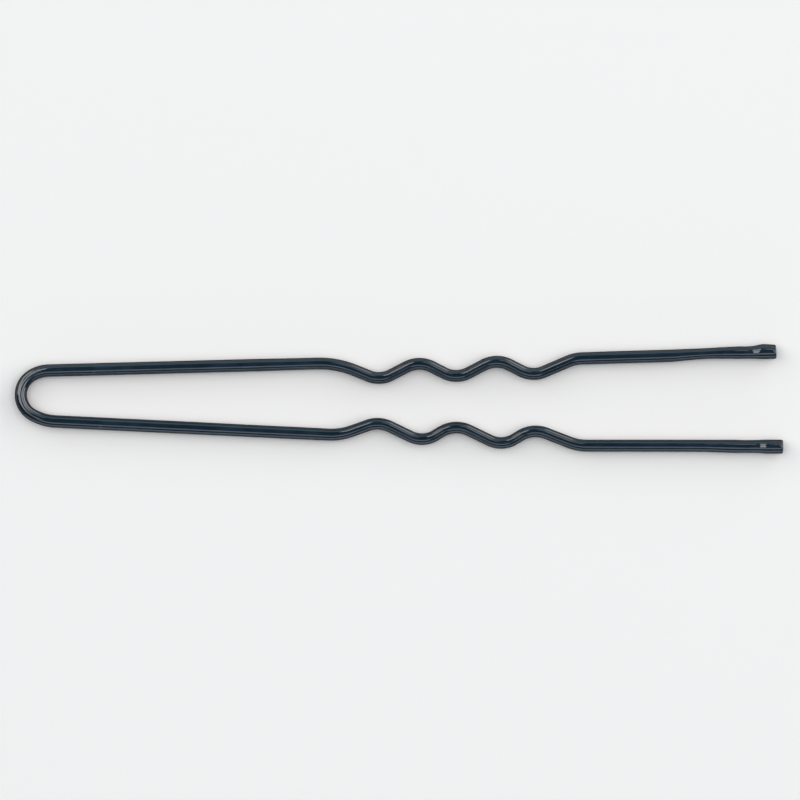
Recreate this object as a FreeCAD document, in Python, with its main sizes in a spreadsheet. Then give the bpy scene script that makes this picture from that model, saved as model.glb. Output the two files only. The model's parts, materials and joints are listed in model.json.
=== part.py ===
import FreeCAD, Part
import math
import os

import Sketcher
from FreeCAD import Vector

# Crimped U-shaped hairpin of lacquered spring wire, in millimetres and degrees.
# It lies flat: +X runs from the bow to the tips, +Y to the left leg and +Z up.
# The origin is on the surface that the pin lies on, under the middle of the pin.
# Each leg springs about a flex centre a short way out from the bow.

# Driving sizes. Lengths along a bend are to the middle of the wire.
SIZES = {
    # Whole pin
    "pin_length": 65.0,
    # Wire and its lacquer
    "wire_diameter": 0.9,
    "lacquer_thickness": 0.075,
    # Bow: a round crown with a wider shoulder on each side
    "bow_offset": 0.37,             # crown off the X axis, towards the left leg
    "bow_radius": 1.93,
    "bow_half_turn": 61.0,          # turn of the crown to each side
    "left_shoulder_radius": 3.0,
    "right_shoulder_radius": 4.5,
    "root_length": 6.0,             # straight wire from a shoulder to its flex centre
    # Round knuckle at each flex centre
    "flex_overhang": 0.075,         # knuckle radius over the radius of the lacquered wire
    "flex_gap": 0.03,               # all round between the knuckle and the leg's seat
    # Left leg
    "left_shank_angle": 1.5,        # lean of the shank, outwards
    "left_shank_share": 0.2585,     # flex centre to the bend into the crimp, against the pin's length
    "left_lead_in": 5.25,           # that bend to the first inner bump
    "left_pitch": 6.52,             # one inner bump to the next
    "left_lead_out": 4.05,          # last inner bump to the bend that ends the crimp
    "left_crimp_depth": 1.355,      # line of the shank to the top of an inner bump
    "left_crest_inset": 0.245,      # line of the shank to the top of an outer crest
    "left_exit_inset": 0.15,        # line of the shank to the top of the last bend
    "left_entry_share": 0.889,      # radius of a bend against the widest that fits there
    "left_bend_share": 0.861,
    "left_exit_share": 0.646,
    "left_end_angle": 0.6,          # lean of the end against the shank, outwards
    "left_leg_share": 0.8523,       # flex centre to the wire's end, along the shank, likewise
    # Right leg
    "right_shank_angle": 2.75,
    "right_shank_share": 0.2638,
    "right_lead_in": 4.33,
    "right_pitch": 6.68,
    "right_lead_out": 3.95,
    "right_crimp_depth": 1.11,
    "right_crest_inset": 0.02,
    "right_exit_inset": 0.11,
    "right_entry_share": 0.712,
    "right_bend_share": 0.848,
    "right_exit_share": 0.712,
    "right_end_angle": -2.5,
    "right_leg_share": 0.8523,
    # Dipped tips
    "tip_bead_height": 0.085,       # bead over the lacquered wire
    "tip_end_wall": 0.15,           # over the end of the wire
    "tip_bead_length": 1.35,        # at full diameter
    "tip_flare_length": 0.65,       # bead down to the skirt
    "tip_skirt_length": 3.0,        # run-up of the dip along the leg
    "tip_skirt_height": 0.03,       # skirt over the lacquered wire
    "tip_edge_radius": 0.14,
    # How far a cutter stands past what it cuts
    "overrun": 0.5,
}

# Outward direction of each leg, along Y.
SIDES = {"left": 1, "right": -1}

# Inner bumps of a crimp, with an outer crest between each two.
BUMPS = 3

# Sizes shared by several pieces, as sheet formulas.
WIRE_RADIUS = "Sizes.wire_diameter / 2"
COAT_RADIUS = f"({WIRE_RADIUS} + Sizes.lacquer_thickness)"
KNUCKLE_RADIUS = f"({COAT_RADIUS} + Sizes.flex_overhang)"
BEAD_RADIUS = f"({COAT_RADIUS} + Sizes.tip_bead_height)"
SKIRT_RADIUS = f"({COAT_RADIUS} + Sizes.tip_skirt_height)"

# Length of wire that a tip covers.
TIP_COVER = "(Sizes.tip_bead_length + Sizes.tip_flare_length + Sizes.tip_skirt_length - Sizes.tip_end_wall)"

# Radii of the section of each layer of the pin, and how far it stops short of the wire's end.
LAYERS = {"wire": [WIRE_RADIUS], "lacquer": [COAT_RADIUS, WIRE_RADIUS]}
STOPS_SHORT = {"wire": "0", "lacquer": TIP_COVER}

# Lengths of each leg along the line of its shank: up to the crimp, and to the wire's end.
SHANK_RUN = {side: f"(Sizes.pin_length * Sizes.{side}_shank_share)" for side in SIDES}
LEG_LENGTH = {side: f"(Sizes.pin_length * Sizes.{side}_leg_share)" for side in SIDES}

QUARTER_TURN = math.pi / 2

# How near a swept volume and an edge's place come to their formulas.
VOLUME_SLACK_SHARE = 1e-4
PLACE_SLACK = 1e-6

# Points of a sketch, and its X axis, by their numbers there.
ORIGIN = (-1, 1)
X_AXIS = (-1, 1)
START, END, CENTRE = 1, 2, 3

doc = FreeCAD.newDocument("hairpin")
sheet = doc.addObject("Spreadsheet::Sheet", "Sizes")
for row, (alias, number) in enumerate(SIZES.items(), start=1):
    sheet.set(f"A{row}", alias)
    sheet.set(f"B{row}", str(number))
    sheet.setAlias(f"B{row}", alias)
doc.recompute()


# Sheet formulas

def value(formula):
    """Number that a sheet formula gives."""
    return float(sheet.evalExpression(formula))


def placed(x, y, angle):
    """Formula of a placement at x, y, turned about Z."""
    return f"placement(vector({x}; {y}; 0); rotation(vector(0; 0; 1); {angle}))"


def flex_frame(path, side):
    """Formula of a leg's flex centre in the bow's own frame, with X along the shank."""
    root = f"{path.Name}.Constraints.{side}_root"
    lean = f"{SIDES[side]} * Sizes.{side}_shank_angle"
    return placed(root + "_x", root + "_y", lean) + " * " + placed("Sizes.root_length", "0", "0")


# Sketches

def new_body(name):
    body = doc.addObject("PartDesign::Body", name)
    body.Label = name
    return body


def new_sketch(body, name):
    """Sketch in the body's own XY plane."""
    plane = next(item for item in body.Origin.OriginFeatures if item.Role == "XY_Plane")
    sketch = body.newObject("Sketcher::SketchObject", f"{body.Name}_{name}")
    sketch.AttachmentSupport = [(plane, "")]
    sketch.MapMode = "FlatFace"
    return sketch


def bind(sketch, name, kind, targets, formula):
    """Adds a dimension that follows a sheet formula."""
    number = value(formula)
    if kind == "Angle":
        number = math.radians(number)
    index = sketch.addConstraint(Sketcher.Constraint(kind, *targets, number))
    sketch.renameConstraint(index, name)
    sketch.setExpression("Constraints." + name, formula)


def measure(sketch, name, kind, targets):
    """Adds a dimension that only reads the drawing."""
    index = sketch.addConstraint(Sketcher.Constraint(kind, *targets, 0.0))
    sketch.setDriving(index, False)
    sketch.renameConstraint(index, name)


def bind_point(sketch, name, point, x, y):
    """Places a point by two formulas."""
    bind(sketch, name + "_x", "DistanceX", ORIGIN + point, x)
    bind(sketch, name + "_y", "DistanceY", ORIGIN + point, y)


def join(sketch, kind, first, second):
    sketch.addConstraint(Sketcher.Constraint(kind, *first, *second))


def draw_outline(sketch, corners):
    """Closed outline of straight sides between corners, each a pair of formulas."""
    places = [Vector(value(x), value(y), 0) for x, y in corners]
    sides = []
    for start, end in zip(places, places[1:] + places[:1]):
        sides.append(sketch.addGeometry(Part.LineSegment(start, end)))
    for before, after in zip(sides, sides[1:] + sides[:1]):
        join(sketch, "Coincident", (before, END), (after, START))
    for number, (x, y) in enumerate(corners):
        bind_point(sketch, f"corner{number}", (sides[number], START), x, y)


# Wire paths: straight runs and bends that meet without a corner

def bend(centre, radius, heading, next_heading):
    """Bend of a path between two headings, with its ends in the order of travel."""
    turns_left = next_heading > heading
    circle = Part.Circle(centre, Vector(0, 0, 1), radius)
    if turns_left:
        return Part.ArcOfCircle(circle, heading - QUARTER_TURN, next_heading - QUARTER_TURN), START, END
    return Part.ArcOfCircle(circle, next_heading + QUARTER_TURN, heading + QUARTER_TURN), END, START


def run(start, end):
    """Straight run of a path, with its ends in the order of travel."""
    return Part.LineSegment(start, end), START, END


def arrival(piece):
    curve, enter, leave = piece
    return curve.StartPoint if enter == START else curve.EndPoint


def departure(piece):
    curve, enter, leave = piece
    return curve.EndPoint if enter == START else curve.StartPoint


def draw_path(sketch, pieces):
    """Draws the pieces of a path and joins them smoothly. Gives each one's number in the sketch."""
    numbers = [sketch.addGeometry(curve) for curve, enter, leave in pieces]
    for i in range(len(pieces) - 1):
        leave = pieces[i][2]
        enter = pieces[i + 1][1]
        join(sketch, "Tangent", (numbers[i], leave), (numbers[i + 1], enter))
    return numbers


def along(heading):
    return Vector(math.cos(heading), math.sin(heading), 0)


def bow_path(body):
    """From the left root round the crown, whose centre is the body's origin, to the right root."""
    sketch = new_sketch(body, "path")
    crown_radius = value("Sizes.bow_radius")
    half_turn = math.radians(value("Sizes.bow_half_turn"))
    root_formula = f"Sizes.root_length + {KNUCKLE_RADIUS} + Sizes.overrun"
    root_length = value(root_formula)
    crown = bend(Vector(0, 0, 0), crown_radius, 3 * QUARTER_TURN - half_turn, 3 * QUARTER_TURN + half_turn)
    shoulders = {}
    roots = {}
    for side, sign in SIDES.items():
        radius = value(f"Sizes.{side}_shoulder_radius")
        lean = sign * math.radians(value(f"Sizes.{side}_shank_angle"))
        crown_end = arrival(crown) if side == "left" else departure(crown)
        centre = crown_end * ((crown_radius - radius) / crown_radius)
        if side == "left":
            shoulders[side] = bend(centre, radius, 2 * QUARTER_TURN + lean, 3 * QUARTER_TURN - half_turn)
            root_start = arrival(shoulders[side])
            roots[side] = run(root_start + along(lean) * root_length, root_start)
        else:
            shoulders[side] = bend(centre, radius, 3 * QUARTER_TURN + half_turn, 4 * QUARTER_TURN + lean)
            root_start = departure(shoulders[side])
            roots[side] = run(root_start, root_start + along(lean) * root_length)
    pieces = [roots["left"], shoulders["left"], crown, shoulders["right"], roots["right"]]
    left_root, left_shoulder, crown_arc, right_shoulder, right_root = draw_path(sketch, pieces)

    join(sketch, "Coincident", (crown_arc, CENTRE), ORIGIN)
    bind(sketch, "crown_radius", "Radius", (crown_arc,), "Sizes.bow_radius")
    numbers = {"left": (left_root, END, left_shoulder), "right": (right_root, START, right_shoulder)}
    for side, (root, inner_end, shoulder) in numbers.items():
        turn = f"90 - Sizes.bow_half_turn - Sizes.{side}_shank_angle"
        bind(sketch, side + "_shoulder_radius", "Radius", (shoulder,), f"Sizes.{side}_shoulder_radius")
        bind(sketch, side + "_shoulder_turn", "Angle", (shoulder,), turn)
        lean = f"{SIDES[side]} * Sizes.{side}_shank_angle"
        bind(sketch, side + "_root_lean", "Angle", X_AXIS + (root, inner_end), lean)
        bind(sketch, side + "_root_length", "Distance", (root,), root_formula)
        measure(sketch, side + "_root_x", "DistanceX", ORIGIN + (root, inner_end))
        measure(sketch, side + "_root_y", "DistanceY", ORIGIN + (root, inner_end))
    return sketch


def widest_pair(step, rise):
    """Formula of the radii, added up, of two opposite bends that meet with no straight flank between them."""
    return f"(({step})^2 + ({rise})^2) / (2 * ({rise}))"


def crimp_bends(side):
    """Bends of a leg in order: formulas of centre and radius, and +1 where the path turns inwards."""
    size = f"Sizes.{side}_"
    out = f"{SIDES[side]} * "
    depth = f"{size}crimp_depth"
    crest_pair = widest_pair(f"{size}pitch / 2", f"{depth} - {size}crest_inset")
    entry_pair = widest_pair(f"{size}lead_in", depth)
    exit_pair = widest_pair(f"{size}lead_out", f"{depth} - {size}exit_inset")
    bend_radius = f"({size}bend_share * {crest_pair} / 2)"
    entry_radius = f"({size}entry_share * ({entry_pair} - {bend_radius}))"
    exit_radius = f"({size}exit_share * ({exit_pair} - {bend_radius}))"

    first = SHANK_RUN[side]
    bends = [(first, out + f"(-{entry_radius})", entry_radius, 1)]
    for i in range(2 * BUMPS - 1):
        x = f"{first} + {size}lead_in + {i} * {size}pitch / 2"
        if i % 2 == 0:
            bends.append((x, out + f"({bend_radius} - {depth})", bend_radius, -1))
        else:
            bends.append((x, out + f"(-{bend_radius} - {size}crest_inset)", bend_radius, 1))
    last = f"{first} + {size}lead_in + {BUMPS - 1} * {size}pitch + {size}lead_out"
    bends.append((last, out + f"(-{exit_radius} - {size}exit_inset)", exit_radius, 1))
    return bends


def leg_path(body, side, stop_short):
    """From the flex centre, the body's origin, along the shank and the crimp towards the wire's end."""
    sketch = new_sketch(body, "path")
    sign = SIDES[side]
    bends = crimp_bends(side)
    centres = [Vector(value(x), value(y), 0) for x, y, radius, turn in bends]
    radii = [value(radius) for x, y, radius, turn in bends]
    headings = [0.0]
    for i in range(len(bends) - 1):
        span = centres[i + 1] - centres[i]
        swing = math.asin((radii[i] + radii[i + 1]) / span.Length)
        headings.append(math.atan2(span.y, span.x) - sign * bends[i][3] * swing)
    headings.append(sign * math.radians(value(f"Sizes.{side}_end_angle")))

    arcs = [bend(centres[i], radii[i], headings[i], headings[i + 1]) for i in range(len(bends))]
    pieces = [run(Vector(0, 0, 0), arrival(arcs[0]))]
    for i in range(len(arcs) - 1):
        pieces.append(arcs[i])
        pieces.append(run(departure(arcs[i]), arrival(arcs[i + 1])))
    pieces.append(arcs[-1])
    end_start = departure(arcs[-1])
    reach = f"{LEG_LENGTH[side]} - {stop_short} * cos(Sizes.{side}_end_angle)"
    end_length = (value(reach) - end_start.x) / math.cos(headings[-1])
    pieces.append(run(end_start, end_start + along(headings[-1]) * end_length))
    numbers = draw_path(sketch, pieces)

    shank, end = numbers[0], numbers[-1]
    join(sketch, "Coincident", (shank, START), ORIGIN)
    sketch.addConstraint(Sketcher.Constraint("Horizontal", shank))
    bind(sketch, "shank_run", "Distance", (shank,), SHANK_RUN[side])
    for i, (x, y, radius, turn) in enumerate(bends):
        arc = numbers[2 * i + 1]
        bind(sketch, f"bend{i}_radius", "Radius", (arc,), radius)
        if i > 0:
            bind_point(sketch, f"bend{i}", (arc, CENTRE), x, y)
    bind(sketch, "end_lean", "Angle", X_AXIS + (end, START), f"{sign} * Sizes.{side}_end_angle")
    bind(sketch, "reach", "DistanceX", ORIGIN + (end, END), reach)
    measure(sketch, "end_y", "DistanceY", ORIGIN + (end, END))
    return sketch


# Features

def sweep(body, path, radii):
    """Sweeps a round section, or a ring of two radii, along a path."""
    section = body.newObject("Sketcher::SketchObject", f"{body.Name}_section")
    section.AttachmentSupport = [(path, "Edge1")]
    section.MapMode = "NormalToEdge"
    section.MapPathParameter = 0
    for number, radius in enumerate(radii):
        circle = section.addGeometry(Part.Circle(Vector(0, 0, 0), Vector(0, 0, 1), value(radius)))
        join(section, "Coincident", (circle, CENTRE), ORIGIN)
        bind(section, f"radius{number}", "Radius", (circle,), radius)
    pipe = body.newObject("PartDesign::AdditivePipe", f"{body.Name}_sweep")
    pipe.Profile = section
    pipe.Spine = path
    doc.recompute()
    areas = [math.pi * value(radius) ** 2 for radius in radii] + [0.0]
    expected = (areas[0] - areas[1]) * path.Shape.Length
    if abs(pipe.Shape.Volume / expected - 1) > VOLUME_SLACK_SHARE:
        raise RuntimeError(f"{body.Label}: the sweep doesn't fill its path")


def pocket_through(body, sketch):
    """Cuts a sketch of the XY plane through the body, up and down."""
    before = body.Tip.Shape.Volume
    pocket = body.newObject("PartDesign::Pocket", f"{sketch.Name}_cut")
    pocket.Profile = sketch
    pocket.SideType = "Symmetric"
    pocket.Type = "ThroughAll"
    doc.recompute()
    if not pocket.Shape.Volume < before:
        raise RuntimeError(f"{sketch.Name}: the cut takes nothing away")


def round_knuckle(body, path, side):
    """Rounds the end of a root to a knuckle about the flex centre."""
    sketch = new_sketch(body, side + "_knuckle")
    sketch.setExpression("AttachmentOffset", flex_frame(path, side))
    half_width = f"{KNUCKLE_RADIUS} + Sizes.overrun"
    far = f"{KNUCKLE_RADIUS} + 2 * Sizes.overrun"
    corners = [("0", f"-({half_width})"), (far, f"-({half_width})"), (far, half_width), ("0", half_width)]
    radius = value(KNUCKLE_RADIUS)
    places = [Vector(0, -radius, 0)]
    places += [Vector(value(x), value(y), 0) for x, y in corners]
    places.append(Vector(0, radius, 0))
    sides = [sketch.addGeometry(Part.LineSegment(a, b)) for a, b in zip(places, places[1:])]
    circle = Part.Circle(Vector(0, 0, 0), Vector(0, 0, 1), radius)
    face = sketch.addGeometry(Part.ArcOfCircle(circle, -QUARTER_TURN, QUARTER_TURN))
    for before, after in zip(sides, sides[1:]):
        join(sketch, "Coincident", (before, END), (after, START))
    join(sketch, "Coincident", (face, START), (sides[0], START))
    join(sketch, "Coincident", (face, END), (sides[-1], END))
    join(sketch, "Coincident", (face, CENTRE), ORIGIN)
    bind(sketch, "radius", "Radius", (face,), KNUCKLE_RADIUS)
    for number, (x, y) in enumerate(corners):
        bind_point(sketch, f"corner{number}", (sides[number], END), x, y)
    for upright in (sides[0], sides[-1]):
        sketch.addConstraint(Sketcher.Constraint("Vertical", upright))
    doc.recompute()
    pocket_through(body, sketch)


def hollow_seat(body):
    """Hollows the start of a leg to a seat round the knuckle."""
    sketch = new_sketch(body, "seat")
    radius = f"{KNUCKLE_RADIUS} + Sizes.flex_gap"
    circle = sketch.addGeometry(Part.Circle(Vector(0, 0, 0), Vector(0, 0, 1), value(radius)))
    join(sketch, "Coincident", (circle, CENTRE), ORIGIN)
    bind(sketch, "radius", "Radius", (circle,), radius)
    doc.recompute()
    pocket_through(body, sketch)


# Sub-parts

def make_bow(layer):
    """One layer of the bow, with a knuckle on each root. The pin lies on the beads of its tips."""
    body = new_body("bow_" + layer)
    body.setExpression("Placement", (
        f"placement(vector(-Sizes.pin_length / 2 + {COAT_RADIUS} + Sizes.bow_radius; Sizes.bow_offset; "
        f"{BEAD_RADIUS}); rotation(vector(0; 0; 1); 0))"))
    path = bow_path(body)
    doc.recompute()
    sweep(body, path, LAYERS[layer])
    for side in SIDES:
        round_knuckle(body, path, side)
    return body, path


def make_leg(side, layer, bow, bow_route):
    """One layer of a leg, in a frame at its flex centre with X along the shank."""
    body = new_body(f"{side}_leg_{layer}")
    body.setExpression("Placement", f"{bow.Name}.Placement * " + flex_frame(bow_route, side))
    path = leg_path(body, side, STOPS_SHORT[layer])
    doc.recompute()
    sweep(body, path, LAYERS[layer])
    hollow_seat(body)
    return body, path


def make_tip(side, leg, leg_route):
    """Dipped tip over the end of a leg's wire, turned about X, with its origin at the wire's end."""
    body = new_body(side + "_tip")
    end_angle = f"{SIDES[side]} * Sizes.{side}_end_angle"
    wire_end = placed(LEG_LENGTH[side], f"{leg_route.Name}.Constraints.end_y", end_angle)
    body.setExpression("Placement", f"{leg.Name}.Placement * " + wire_end)
    sketch = new_sketch(body, "profile")
    front = "Sizes.tip_end_wall"
    bead_back = front + " - Sizes.tip_bead_length"
    flare_back = bead_back + " - Sizes.tip_flare_length"
    skirt_back = f"-{TIP_COVER}"
    draw_outline(sketch, [
        ("0", "0"),
        (front, "0"),
        (front, BEAD_RADIUS),
        (bead_back, BEAD_RADIUS),
        (flare_back, SKIRT_RADIUS),
        (skirt_back, SKIRT_RADIUS),
        (skirt_back, WIRE_RADIUS),
        ("0", WIRE_RADIUS),
    ])
    turned = body.newObject("PartDesign::Revolution", body.Name + "_turned")
    turned.Profile = sketch
    turned.ReferenceAxis = (sketch, ["H_Axis"])
    turned.Angle = 360
    doc.recompute()
    rim = next(
        f"Edge{number}" for number, edge in enumerate(turned.Shape.Edges, start=1)
        if isinstance(edge.Curve, Part.Circle)
        and math.isclose(edge.Curve.Center.x, value(front), abs_tol=PLACE_SLACK)
        and math.isclose(edge.Curve.Radius, value(BEAD_RADIUS), abs_tol=PLACE_SLACK)
    )
    rounded = body.newObject("PartDesign::Fillet", body.Name + "_rounded")
    rounded.Base = (turned, [rim])
    rounded.setExpression("Radius", "Sizes.tip_edge_radius")
    doc.recompute()
    return body


subparts = []
bows = {}
for layer in LAYERS:
    bows[layer] = make_bow(layer)
    subparts.append(bows[layer][0])
for side in SIDES:
    legs = {layer: make_leg(side, layer, *bows[layer]) for layer in LAYERS}
    subparts += [body for body, path in legs.values()]
    subparts.append(make_tip(side, *legs["wire"]))
doc.recompute()

for item in doc.Objects:
    if "Invalid" in item.State or "Error" in item.State:
        raise RuntimeError(f"{item.Label} failed: {item.State}")
for item in doc.Objects:
    if item.TypeId == "Sketcher::SketchObject" and not item.FullyConstrained:
        raise RuntimeError(f"{item.Label} isn't fully constrained")
for body in subparts:
    if body.Shape.isNull() or not body.Shape.isValid() or len(body.Shape.Solids) != 1:
        raise RuntimeError(f"{body.Label} isn't one valid solid")

os.makedirs("parts", exist_ok=True)
for body in subparts:
    body.Shape.exportStep(f"parts/{body.Label}.step")
    box = body.Shape.BoundBox
    print(f"{body.Label:18s} volume {body.Shape.Volume:8.4f}  X {box.XMin:8.3f} {box.XMax:8.3f}"
          f"  Y {box.YMin:7.3f} {box.YMax:7.3f}  Z {box.ZMin:6.3f} {box.ZMax:6.3f}")
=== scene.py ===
import json
import math

import bpy
from mathutils import Matrix, Vector
from mathutils.kdtree import KDTree


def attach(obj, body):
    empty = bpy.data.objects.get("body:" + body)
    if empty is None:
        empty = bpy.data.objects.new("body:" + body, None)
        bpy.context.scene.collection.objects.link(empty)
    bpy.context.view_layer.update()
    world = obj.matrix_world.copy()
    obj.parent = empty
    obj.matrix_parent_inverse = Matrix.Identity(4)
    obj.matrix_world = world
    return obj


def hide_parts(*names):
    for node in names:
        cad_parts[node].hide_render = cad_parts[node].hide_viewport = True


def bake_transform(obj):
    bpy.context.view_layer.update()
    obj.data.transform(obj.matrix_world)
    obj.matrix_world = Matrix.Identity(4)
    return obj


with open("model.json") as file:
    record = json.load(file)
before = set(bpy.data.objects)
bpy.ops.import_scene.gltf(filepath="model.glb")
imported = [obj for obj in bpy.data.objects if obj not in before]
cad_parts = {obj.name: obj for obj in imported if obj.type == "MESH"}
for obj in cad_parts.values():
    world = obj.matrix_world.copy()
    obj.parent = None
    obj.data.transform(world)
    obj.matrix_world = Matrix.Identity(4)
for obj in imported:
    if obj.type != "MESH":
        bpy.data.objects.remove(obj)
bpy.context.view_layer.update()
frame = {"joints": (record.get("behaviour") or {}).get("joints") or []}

# Crimped U-shaped hairpin of black-lacquered wire, in metres, lying on the floor.
# The bow is at -X, the tips are at +X, the left leg is at +Y.

MM = 0.001


# Sizes of the wire

COAT_DIAMETER = 1.05 * MM
BARE_DIAMETER = 0.9 * MM

CROWN_CENTRE = Vector((-30.045, 0.37, 0.61)) * MM
CROWN_RADIUS = 1.93 * MM
CROWN_HALF_TURN = math.radians(61.0)
SHOULDER_RADIUS = {"left": 3.0 * MM, "right": 4.5 * MM}
ROOT_LENGTH = 6.0 * MM

# Bending presses the wire narrower in the pin's plane and a little taller.
CROWN_WIDTH = 0.975 * MM
CROWN_HEIGHT = 1.065 * MM

# The wire of a leg starts at a seam on the straight root, this far back from its flex centre.
SEAM_BACK = 4.5 * MM

# Inner bumps of a crimp, with an outer crest between each two.
BUMPS = 3

# From the flex centre to the wire's end, along the line of the shank.
LEG_LENGTH = 55.4 * MM

# Crimp of each leg, in millimetres along and inside the line of its shank. A crest lies past the middle
# between its two bumps by its lag. The girth gives the wire's width in the pin's plane and how far it lies
# off its axis, in millimetres, at places along X.
LEGS = {
    "left": {
        "outward": 1, "lean": math.radians(1.5), "end_lean": math.radians(0.6),
        "crimp_start": 16.75, "lead_in": 5.2, "pitch": 6.55, "crest_lag": 0.07, "lead_out": 4.1,
        "depth": 1.36, "crest_inset": 0.25, "exit_inset": 0.15,
        "entry_radius": 7.7, "bump_radius": 2.25, "crest_radius": 2.35, "exit_radius": 3.3,
        "girth": [
            (-12.0, 1.05, 0.0),     # seam
            (-8.5, 1.0, 0.0),       # shank, drawn a little thinner
            (6.0, 1.01, 0.0),
            (14.0, 1.045, 0.0),     # crimp
            (18.5, 1.07, -0.02),
            (23.0, 1.06, -0.05),
            (24.5, 0.98, -0.01),    # waist
            (26.0, 0.93, 0.02),
            (27.5, 0.98, 0.02),
            (28.75, 1.05, 0.0),     # run-up of the dip
            (29.5, 1.04, -0.02),
            (30.1, 1.1, -0.02),     # flare
            (30.7, 1.25, 0.01),
            (30.95, 1.265, 0.005),  # bead
            (31.8, 1.205, -0.04),
        ],
    },
    "right": {
        "outward": -1, "lean": math.radians(2.75), "end_lean": math.radians(-2.5),
        "crimp_start": 17.1, "lead_in": 4.2, "pitch": 6.7, "crest_lag": 0.25, "lead_out": 4.1,
        "depth": 1.12, "crest_inset": -0.01, "exit_inset": 0.11,
        "entry_radius": 5.1, "bump_radius": 2.45, "crest_radius": 2.2, "exit_radius": 4.2,
        "girth": [
            (-16.0, 1.05, 0.0),     # seam
            (-13.0, 1.03, 0.0),     # shank
            (-7.5, 1.025, 0.0),
            (-2.0, 0.97, 0.0),
            (13.0, 0.97, 0.0),
            (15.2, 1.005, 0.0),     # crimp
            (22.0, 1.015, 0.025),
            (25.9, 1.025, 0.03),
            (27.0, 1.065, 0.015),   # run-up of the dip
            (28.4, 1.105, 0.0),
            (29.15, 1.08, -0.01),
            (30.4, 1.095, 0.0),     # flare
            (30.8, 1.15, -0.01),
            (31.1, 1.18, -0.015),   # bead
            (31.5, 1.185, -0.015),
            (32.3, 1.185, -0.015),
        ],
    },
}

# How far the dipped tip covers the wire, back from the wire's end.
TIP_COVER = 4.85 * MM

# Height of a dipped tip against the place of the wire's end, from its thin back over the flare to the bead.
TIP_HEIGHTS = [
    (-4.85, 1.05), (-3.2, 1.03), (-2.05, 0.99), (-1.9, 1.0), (-1.65, 1.06), (-1.4, 1.14), (-1.15, 1.195),
    (-0.9, 1.213), (-0.5, 1.2145), (0.0, 1.2145),
]

# Blunt front of a tip: its wall in front of the wire's end, its rounded edge, and a ring inside its flat.
TIP_END_WALL = 0.147 * MM
TIP_EDGE_RADIUS = 0.14 * MM
TIP_EDGE_STEPS = 6
TIP_FLAT_SHARE = 0.5

# Fineness of the meshes
SECTION_SIDES = 48
RING_STEP = 0.35 * MM
TIP_STEP = 0.14 * MM
TURN_STEP = math.radians(3.0)
MERGE_NEAR = 0.001 * MM
SMOOTH_ANGLE = math.radians(35)


# Forming the wire

def along(heading):
    return Vector((math.cos(heading), math.sin(heading), 0))


def across(heading):
    return Vector((-math.sin(heading), math.cos(heading), 0))


def read_table(table, place):
    """The values of a table at a place, on a smooth curve through its rows."""
    last = len(table) - 1
    if place <= table[0][0]:
        return table[0][1:]
    if place >= table[last][0]:
        return table[last][1:]
    row = next(number for number in range(last) if place <= table[number + 1][0])
    before, low, high, after = (table[min(max(row + step, 0), last)] for step in (-1, 0, 1, 2))
    span = high[0] - low[0]
    share = (place - low[0]) / span
    values = []
    for column in range(1, len(low)):
        slope_low = (high[column] - before[column]) / (high[0] - before[0]) * span
        slope_high = (after[column] - low[column]) / (after[0] - low[0]) * span
        rise = high[column] - low[column]
        curve = slope_low + (3 * rise - 2 * slope_low - slope_high) * share
        curve += (slope_low + slope_high - 2 * rise) * share ** 2
        values.append(low[column] + curve * share)
    return tuple(values)


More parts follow.
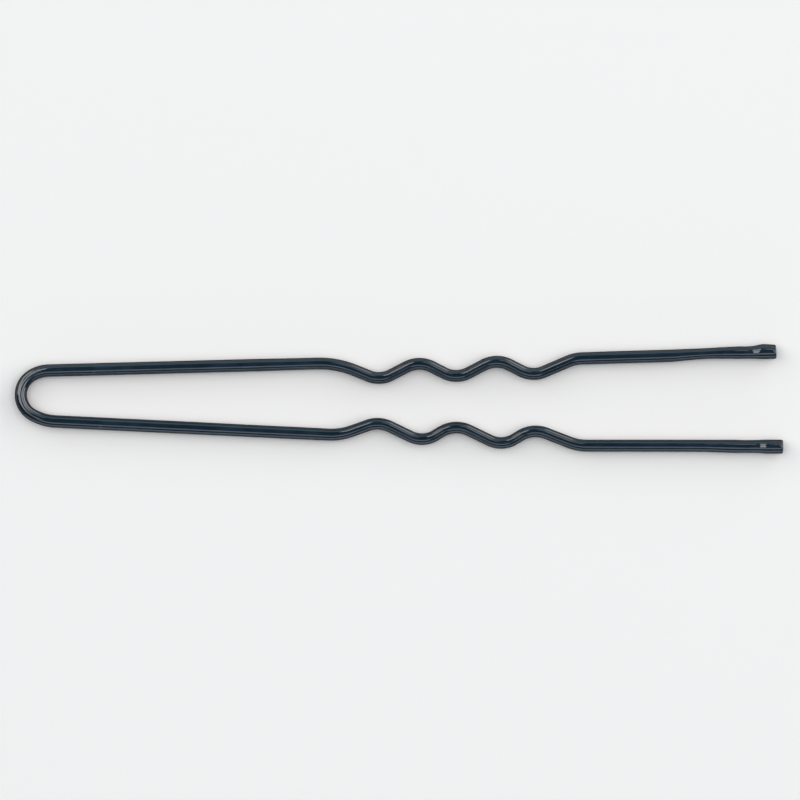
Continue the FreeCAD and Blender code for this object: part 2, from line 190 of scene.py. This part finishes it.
class Former:
    """A round section that is drawn out ring by ring along straight runs and bends in the pin's plane."""

    def __init__(self, name, place, heading, shape):
        self.place = Vector(place)
        self.heading = heading
        self.shape = shape
        self.wide, self.tall, self.shift = COAT_DIAMETER, COAT_DIAMETER, 0.0
        self.drawn = 0.0
        self.rings = []
        bpy.ops.object.select_all(action="DESELECT")
        bpy.ops.mesh.primitive_circle_add(
            vertices=SECTION_SIDES, radius=COAT_DIAMETER / 2, fill_type="NOTHING",
            location=self.place, rotation=(0, math.pi / 2, heading))
        bpy.ops.object.transform_apply(location=True, rotation=True, scale=True)
        self.piece = bpy.context.object
        self.piece.name = name
        self.piece.data.name = name
        bpy.ops.object.mode_set(mode="EDIT")
        bpy.ops.mesh.select_all(action="SELECT")
        self.press()

    def press(self):
        """Gives the front ring the width, height and sideways place that the wire has there."""
        wide, tall, shift = self.shape(self)
        middle = self.place + Vector((0, self.shift, 0))
        if wide != self.wide or tall != self.tall:
            axes = Matrix((along(self.heading), across(self.heading), Vector((0, 0, 1))))
            bpy.ops.transform.resize(
                value=(1, wide / self.wide, tall / self.tall), orient_type="GLOBAL", orient_matrix=axes,
                orient_matrix_type="GLOBAL", center_override=middle)
        if shift != self.shift:
            bpy.ops.transform.translate(value=(0, shift - self.shift, 0))
        self.wide, self.tall, self.shift = wide, tall, shift
        self.rings.append((self.place + Vector((0, shift, 0)), self.heading, self.drawn))

    def run(self, length, step=RING_STEP):
        """Straight run, in rings a short step apart."""
        count = max(1, math.ceil(length / step))
        for _ in range(count):
            self.extrude(length / count)

    def extrude(self, length):
        move = along(self.heading) * length
        bpy.ops.mesh.extrude_region_move(TRANSFORM_OT_translate={"value": move})
        self.place = self.place + move
        self.drawn += abs(length)
        self.press()

    def bend(self, radius, turn):
        """Bend by turn, to the left where it is positive."""
        count = max(2, math.ceil(abs(turn) / TURN_STEP))
        centre = self.place + across(self.heading) * math.copysign(radius, turn)
        for _ in range(count):
            bpy.ops.mesh.spin(steps=1, angle=-turn / count, center=centre, axis=(0, 0, 1))
            self.place = centre + Matrix.Rotation(turn / count, 3, "Z") @ (self.place - centre)
            self.heading += turn / count
            self.drawn += radius * abs(turn) / count
            self.press()

    def close(self):
        """Closes both ends, turns the faces outwards and notes each point's place on the straight wire."""
        bpy.ops.mesh.edge_face_add()
        bpy.ops.mesh.select_mode(type="EDGE")
        bpy.ops.mesh.select_all(action="DESELECT")
        bpy.ops.mesh.select_non_manifold()
        bpy.ops.mesh.edge_face_add()
        bpy.ops.mesh.select_all(action="SELECT")
        bpy.ops.mesh.remove_doubles(threshold=MERGE_NEAR)
        bpy.ops.mesh.normals_make_consistent(inside=False)
        bpy.ops.mesh.select_mode(type="VERT")
        bpy.ops.object.mode_set(mode="OBJECT")
        bpy.ops.object.shade_smooth_by_angle(angle=SMOOTH_ANGLE)
        self.note_places()
        return self.piece

    def note_places(self):
        tree = KDTree(len(self.rings))
        for number, (middle, _, _) in enumerate(self.rings):
            tree.insert(middle, number)
        tree.balance()
        mesh = self.piece.data
        places = mesh.attributes.new("drawn_wire", "FLOAT_VECTOR", "POINT")
        for vertex in mesh.vertices:
            middle, heading, drawn = self.rings[tree.find(vertex.co)[1]]
            spoke = vertex.co - middle
            places.data[vertex.index].vector = (drawn, spoke.dot(across(heading)), spoke.z)


def flex_centre(side):
    joint = next(item for item in frame["joints"] if item["child"] == f"{side}_leg")
    return Vector(joint["pos_m"])


def leg_heading(side):
    return LEGS[side]["outward"] * LEGS[side]["lean"]


def seam_place(side):
    return flex_centre(side) - along(leg_heading(side)) * SEAM_BACK


def crown_shape(former):
    """Width and height of the wire round the bow: round on the roots, pressed at the crown."""
    lean = math.cos(former.heading)
    share = 1 - lean * lean
    wide = COAT_DIAMETER + (CROWN_WIDTH - COAT_DIAMETER) * share
    tall = COAT_DIAMETER + (CROWN_HEIGHT - COAT_DIAMETER) * share
    return wide, tall, 0.0


def form_bow():
    """From the left seam over the left shoulder, the crown and the right shoulder to the right seam."""
    bow = Former("lacquered_bow", seam_place("left"), math.pi + leg_heading("left"), crown_shape)
    bow.run(ROOT_LENGTH - SEAM_BACK)
    bow.bend(SHOULDER_RADIUS["left"], math.pi / 2 - CROWN_HALF_TURN - LEGS["left"]["lean"])
    bow.bend(CROWN_RADIUS, 2 * CROWN_HALF_TURN)
    bow.bend(SHOULDER_RADIUS["right"], math.pi / 2 - CROWN_HALF_TURN - LEGS["right"]["lean"])
    bow.run(ROOT_LENGTH - SEAM_BACK)
    return bow.close()


def leg_shape(side):
    def shape(former):
        wide, shift = read_table(LEGS[side]["girth"], former.place.x / MM)
        return wide * MM, COAT_DIAMETER, shift * MM
    return shape


def bare_shape(former):
    return BARE_DIAMETER, BARE_DIAMETER, 0.0


def crimp_bends(leg):
    """Centres, radii and inward turns of a leg's bends, along the line of its shank."""
    first_bump = leg["crimp_start"] + leg["lead_in"]
    last_bump = first_bump + (BUMPS - 1) * leg["pitch"]
    bends = [(leg["crimp_start"], 0.0, leg["entry_radius"], 1)]
    for number in range(BUMPS):
        bump = first_bump + number * leg["pitch"]
        bends.append((bump, leg["depth"], leg["bump_radius"], -1))
        crest = bump + leg["pitch"] / 2 + leg["crest_lag"]
        if crest < last_bump:
            bends.append((crest, leg["crest_inset"], leg["crest_radius"], 1))
    bends.append((last_bump + leg["lead_out"], leg["exit_inset"], leg["exit_radius"], 1))

    placed = []
    for x, inset, radius, inward in bends:
        centre = Vector((x, -leg["outward"] * (inset + inward * radius), 0)) * MM
        placed.append((centre, radius * MM, inward))
    return placed


def form_leg(side):
    """From the seam along the shank and through the crimp to the wire's end inside the tip."""
    leg = LEGS[side]
    outward = leg["outward"]
    lean = leg_heading(side)
    former = Former(f"lacquered_{side}_leg", seam_place(side), lean, leg_shape(side))
    origin = flex_centre(side)
    bends = crimp_bends(leg)
    headings = [0.0]
    for (centre, radius, inward), (next_centre, next_radius, _) in zip(bends, bends[1:]):
        span = next_centre - centre
        swing = math.asin((radius + next_radius) / span.length)
        headings.append(math.atan2(span.y, span.x) - outward * inward * swing)
    headings.append(outward * leg["end_lean"])

    for number, (centre, radius, inward) in enumerate(bends):
        heading, next_heading = headings[number], headings[number + 1]
        entry = centre + across(heading) * radius * outward * inward
        entry = origin + Matrix.Rotation(lean, 3, "Z") @ entry
        former.run((entry - former.place).length)
        former.bend(radius, next_heading - heading)
    local = Matrix.Rotation(-lean, 3, "Z") @ (former.place - origin)
    end_run = (LEG_LENGTH - local.x) / math.cos(headings[-1])
    former.run(end_run - TIP_COVER)
    former.shape = bare_shape
    former.extrude(0.0)
    former.run(TIP_COVER)
    return former.close(), former.place, former.heading


def round_front(tip):
    """Draws the tip on past the wire's end, rounds its edge and leaves a flat."""
    full_wide, full_tall, shift = tip.wide, tip.tall, tip.shift

    def inset_shape(inset):
        return lambda former: (full_wide - 2 * inset, full_tall - 2 * inset, shift)

    tip.shape = inset_shape(0.0)
    tip.extrude(TIP_END_WALL - TIP_EDGE_RADIUS)
    reach = 0.0
    for step in range(1, TIP_EDGE_STEPS + 1):
        angle = math.pi / 2 * step / TIP_EDGE_STEPS
        tip.shape = inset_shape(TIP_EDGE_RADIUS * (1 - math.cos(angle)))
        tip.extrude(TIP_EDGE_RADIUS * math.sin(angle) - reach)
        reach = TIP_EDGE_RADIUS * math.sin(angle)
    tip.shape = lambda former: (full_wide * TIP_FLAT_SHARE, full_tall * TIP_FLAT_SHARE, shift)
    tip.extrude(0.0)


def tip_shape(side, wire_end, heading):
    as_leg = leg_shape(side)

    def shape(former):
        wide, _, shift = as_leg(former)
        tall, = read_table(TIP_HEIGHTS, (former.place - wire_end).dot(along(heading)) / MM)
        return wide, tall * MM, shift
    return shape


def form_tip(side, wire_end, heading):
    """Dipped tip: a thin run-up on the leg, a flare, a bead and a blunt front, hollow where the wire is."""
    tip = Former(f"{side}_dipped_tip", wire_end, heading, bare_shape)
    tip.extrude(-TIP_COVER)
    tip.shape = tip_shape(side, wire_end, heading)
    tip.extrude(0.0)
    tip.run(TIP_COVER, TIP_STEP)
    round_front(tip)
    return tip.close()


bow = form_bow()
legs = {}
tips = {}
for side in LEGS:
    legs[side], wire_end, end_heading = form_leg(side)
    tips[side] = form_tip(side, wire_end, end_heading)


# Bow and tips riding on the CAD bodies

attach(bow, "bow")
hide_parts("bow_wire", "bow_lacquer")
for side in LEGS:
    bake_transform(legs[side])
    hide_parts(f"{side}_leg_wire", f"{side}_leg_lacquer")
    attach(tips[side], f"{side}_leg")
    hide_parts(f"{side}_tip")


# Lacquer

# Specks and orange peel, in cells per metre, and the depth of the peel.
SPECK_SCALE = 900.0
PEEL_SCALE = 3200.0
PEEL_DEPTH = 0.01 * MM
PEEL_STRENGTH = 0.5

# Share of the slow noise that the film spans, and how near a speck's middle it starts and is full.
FILM_SPAN = (0.3, 0.7)
SPECK_EDGE = 0.12
SPECK_CORE = 0.05

# Darkest colour of the ground, and the colour of the dust in the film.
DARK_PETROL = (0.008, 0.027, 0.05)
DUST = (0.14, 0.16, 0.18)

# The ground mirrors strongly. The smoky lacquer on it lets this share through where it is seen straight on,
# and less aslant.
GROUND_IOR = 2.1
SMOKE = (0.42, 0.42, 0.42)


def lacquer_film_group():
    """Uneven film of a baked lacquer: slow thickness, specks and a slight orange peel."""
    group = bpy.data.node_groups.new("lacquer_film", "ShaderNodeTree")
    sockets = group.interface
    sockets.new_socket("Vector", in_out="INPUT", socket_type="NodeSocketVector")
    sockets.new_socket("Film Scale", in_out="INPUT", socket_type="NodeSocketFloat")
    sockets.new_socket("Film", in_out="OUTPUT", socket_type="NodeSocketFloat")
    sockets.new_socket("Specks", in_out="OUTPUT", socket_type="NodeSocketFloat")
    sockets.new_socket("Height", in_out="OUTPUT", socket_type="NodeSocketFloat")
    nodes, links = group.nodes, group.links
    entry = nodes.new("NodeGroupInput")
    leave = nodes.new("NodeGroupOutput")

    film = nodes.new("ShaderNodeTexNoise")
    film.inputs["Detail"].default_value = 4.0
    film.inputs["Roughness"].default_value = 0.65
    links.new(entry.outputs["Vector"], film.inputs["Vector"])
    links.new(entry.outputs["Film Scale"], film.inputs["Scale"])
    spread = nodes.new("ShaderNodeMapRange")
    spread.inputs["From Min"].default_value = FILM_SPAN[0]
    spread.inputs["From Max"].default_value = FILM_SPAN[1]
    links.new(film.outputs["Fac"], spread.inputs["Value"])
    links.new(spread.outputs["Result"], leave.inputs["Film"])

    specks = nodes.new("ShaderNodeTexVoronoi")
    specks.inputs["Scale"].default_value = SPECK_SCALE
    links.new(entry.outputs["Vector"], specks.inputs["Vector"])
    near = nodes.new("ShaderNodeMapRange")
    near.inputs["From Min"].default_value = SPECK_EDGE
    near.inputs["From Max"].default_value = SPECK_CORE
    links.new(specks.outputs["Distance"], near.inputs["Value"])
    links.new(near.outputs["Result"], leave.inputs["Specks"])

    peel = nodes.new("ShaderNodeTexNoise")
    peel.inputs["Scale"].default_value = PEEL_SCALE
    peel.inputs["Detail"].default_value = 2.0
    links.new(entry.outputs["Vector"], peel.inputs["Vector"])
    links.new(peel.outputs["Fac"], leave.inputs["Height"])
    return group


film_group = lacquer_film_group()


def lacquer(name, light, film_scale, stretch, smooth, dull):
    """Glossy petrol ground under a smoky lacquer, whose film runs along the wire."""
    material = bpy.data.materials.new(name)
    material.use_nodes = True
    nodes, links = material.node_tree.nodes, material.node_tree.links
    shader = nodes["Principled BSDF"]
    shader.inputs["IOR"].default_value = GROUND_IOR
    shader.inputs["Specular IOR Level"].default_value = 1.0
    shader.inputs["Coat Weight"].default_value = 1.0
    shader.inputs["Coat IOR"].default_value = 1.0
    shader.inputs["Coat Tint"].default_value = (*SMOKE, 1)

    place = nodes.new("ShaderNodeAttribute")
    place.attribute_name = "drawn_wire"
    mapping = nodes.new("ShaderNodeMapping")
    mapping.inputs["Scale"].default_value = stretch
    links.new(place.outputs["Vector"], mapping.inputs["Vector"])
    film = nodes.new("ShaderNodeGroup")
    film.node_tree = film_group
    film.inputs["Film Scale"].default_value = film_scale
    links.new(mapping.outputs["Vector"], film.inputs["Vector"])

    depth = nodes.new("ShaderNodeMix")
    depth.data_type = "RGBA"
    depth.inputs["A"].default_value = (*DARK_PETROL, 1)
    depth.inputs["B"].default_value = (*light, 1)
    links.new(film.outputs["Film"], depth.inputs["Factor"])
    dusty = nodes.new("ShaderNodeMix")
    dusty.data_type = "RGBA"
    dusty.inputs["B"].default_value = (*DUST, 1)
    links.new(film.outputs["Specks"], dusty.inputs["Factor"])
    links.new(depth.outputs["Result"], dusty.inputs["A"])
    links.new(dusty.outputs["Result"], shader.inputs["Base Color"])

    sheen = nodes.new("ShaderNodeMapRange")
    sheen.inputs["To Min"].default_value = smooth
    sheen.inputs["To Max"].default_value = dull
    links.new(film.outputs["Film"], sheen.inputs["Value"])
    links.new(sheen.outputs["Result"], shader.inputs["Roughness"])

    bump = nodes.new("ShaderNodeBump")
    bump.inputs["Strength"].default_value = PEEL_STRENGTH
    bump.inputs["Distance"].default_value = PEEL_DEPTH
    links.new(film.outputs["Height"], bump.inputs["Height"])
    links.new(bump.outputs["Normal"], shader.inputs["Normal"])
    return material


wire_lacquer = lacquer(
    "petrol_black_lacquer", light=(0.034, 0.077, 0.12),
    film_scale=1300.0, stretch=(0.5, 1, 1), smooth=0.03, dull=0.1)
dip_lacquer = lacquer(
    "dipped_tip_lacquer", light=(0.036, 0.08, 0.124),
    film_scale=1600.0, stretch=(0.7, 1, 1), smooth=0.03, dull=0.12)
for piece in (bow, *legs.values()):
    piece.data.materials.append(wire_lacquer)
for piece in tips.values():
    piece.data.materials.append(dip_lacquer)


# Floor

FLOOR_SIZE = 6.0
FLOOR_CELLS = 60
FLOOR_COLOUR = (0.965, 0.94, 0.915)
bpy.ops.object.select_all(action="DESELECT")
bpy.ops.mesh.primitive_grid_add(x_subdivisions=FLOOR_CELLS, y_subdivisions=FLOOR_CELLS, size=FLOOR_SIZE)
floor = bpy.context.object
floor.name = "pale_floor"
paper = bpy.data.materials.new("pale_paper")
paper.use_nodes = True
paper_shader = paper.node_tree.nodes["Principled BSDF"]
paper_shader.inputs["Base Color"].default_value = (*FLOOR_COLOUR, 1)
paper_shader.inputs["Roughness"].default_value = 0.9
paper_shader.inputs["Specular IOR Level"].default_value = 0.0
floor.data.materials.append(paper)


# Light

# Distances of the lamps from the pin, overhead and round about, and the dim light of the room.
UP = (0, 0, 1)
CEILING = 1.0
WALL = 1.2
ROOM_COLOUR = (0.03, 0.045, 0.06)


def lamp(name, towards, distance, wide, deep, radiance, slide=(0, 0), colour=(1, 1, 1)):
    """Rectangular soft lamp that faces the pin from a direction. Its deep side is the one nearest to Y."""
    light = bpy.data.lights.new(name, "AREA")
    light.shape = "RECTANGLE"
    light.size = wide
    light.size_y = deep
    light.energy = radiance * math.pi * wide * deep
    light.color = colour
    holder = bpy.data.objects.new(name, light)
    bpy.context.scene.collection.objects.link(holder)
    direction = Vector(towards).normalized()
    wide_axis = Vector((0, 1, 0)).cross(direction).normalized()
    deep_axis = direction.cross(wide_axis)
    holder.rotation_mode = "QUATERNION"
    holder.rotation_quaternion = Matrix((wide_axis, deep_axis, direction)).transposed().to_quaternion()
    holder.location = direction * distance + wide_axis * slide[0] + deep_axis * slide[1]
    holder.visible_camera = False


# Softboxes overhead on both sides leave a dark slot along the pin. Scrims and wings carry them on and down.
lamp("left_softbox", UP, CEILING, wide=0.8, deep=0.6, radiance=2.15, slide=(-0.55, 0.05))
lamp("right_softbox", UP, CEILING, wide=0.65, deep=1.1, radiance=1.85, slide=(0.55, 0.05))
lamp("left_scrim", UP, CEILING, wide=0.5, deep=0.4, radiance=2.5, slide=(-0.4, 0.75))
lamp("right_scrim", UP, CEILING, wide=0.6, deep=0.3, radiance=1.0, slide=(0.4, 0.75))
lamp("left_wing", (-0.65, 0.5, 0.6), WALL, wide=0.5, deep=1.3, radiance=2.65, slide=(-0.2, 0))
lamp("right_wing", (0.7, 0.45, 0.5), WALL, wide=0.55, deep=2.4, radiance=2.75, slide=(0.2, -0.15))

# Dim cool panels before and behind the pin
lamp("near_panel", (-0.05, -0.55, 0.85), WALL, wide=0.6, deep=0.45, radiance=1.0, colour=(0.78, 0.87, 1))
lamp("front_panel", (0, -0.98, 0.2), WALL, wide=2.0, deep=0.35, radiance=1.35,
     slide=(-0.2, -0.05), colour=(0.68, 0.85, 1))
lamp("far_panel", (0, 0.95, 0.35), WALL, wide=1.05, deep=0.8, radiance=0.6,
     slide=(0.05, 0), colour=(0.6, 0.85, 1))

world = bpy.data.worlds.new("dim_room")
world.use_nodes = True
world.node_tree.nodes["Background"].inputs["Color"].default_value = (*ROOM_COLOUR, 1)
world.node_tree.nodes["Background"].inputs["Strength"].default_value = 1.0
bpy.context.scene.world = world


# Camera, straight above the pin

VIEW_WIDTH = 67.68 * MM
LENS = 300.0
SENSOR = 36.0
VIEW_CENTRE = (0.106 * MM, -0.06 * MM)
NEAREST_SEEN = 0.01
FARTHEST_SEEN = 20.0
camera_data = bpy.data.cameras.new("camera")
camera_data.lens = LENS
camera_data.sensor_width = SENSOR
camera_data.clip_start = NEAREST_SEEN
camera_data.clip_end = FARTHEST_SEEN
camera = bpy.data.objects.new("camera", camera_data)
bpy.context.scene.collection.objects.link(camera)
camera.location = (*VIEW_CENTRE, CROWN_CENTRE.z + VIEW_WIDTH * LENS / SENSOR)
bpy.context.scene.camera = camera
bpy.context.scene.view_settings.view_transform = "Standard"
